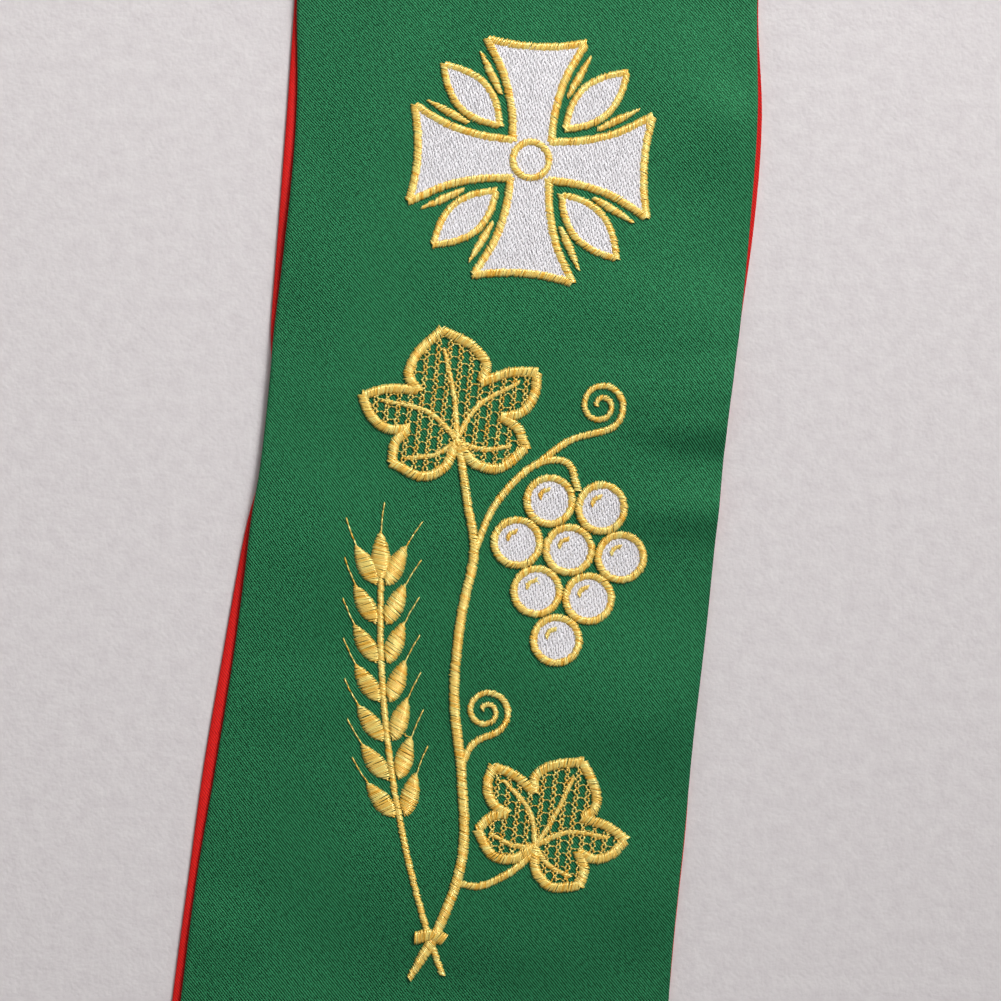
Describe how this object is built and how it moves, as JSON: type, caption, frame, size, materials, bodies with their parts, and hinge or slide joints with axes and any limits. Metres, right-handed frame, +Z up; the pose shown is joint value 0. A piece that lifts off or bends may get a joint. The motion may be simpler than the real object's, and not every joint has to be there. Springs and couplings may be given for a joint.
{
  "type": "clerical stole",
  "caption": "Reversible clerical stole laid flat: long bands joined at a curved neck, green face cloth over red reverse cloth, lying on a surface.",
  "frame": {"origin": "bottom centre of the stole's box, on the surface it lies on", "axes": "+X across the stole towards its right band, +Y along the bands from the hems to the neck, +Z up from the surface"},
  "size_m": [0.4382, 1.3228, 0.0047],
  "materials": {
    "face_cloth": "green polyester twill, soft low sheen",
    "back_cloth": "red polyester twill, soft low sheen",
    "gold_thread": "golden yellow rayon embroidery thread, satin stitched",
    "white_thread": "white polyester embroidery thread, filling stitch"
  },
  "bodies": {
    "root": {"face_left": "face_cloth", "face_right": "face_cloth", "back_left": "back_cloth", "back_right": "back_cloth"}
  },
  "joints": []
}
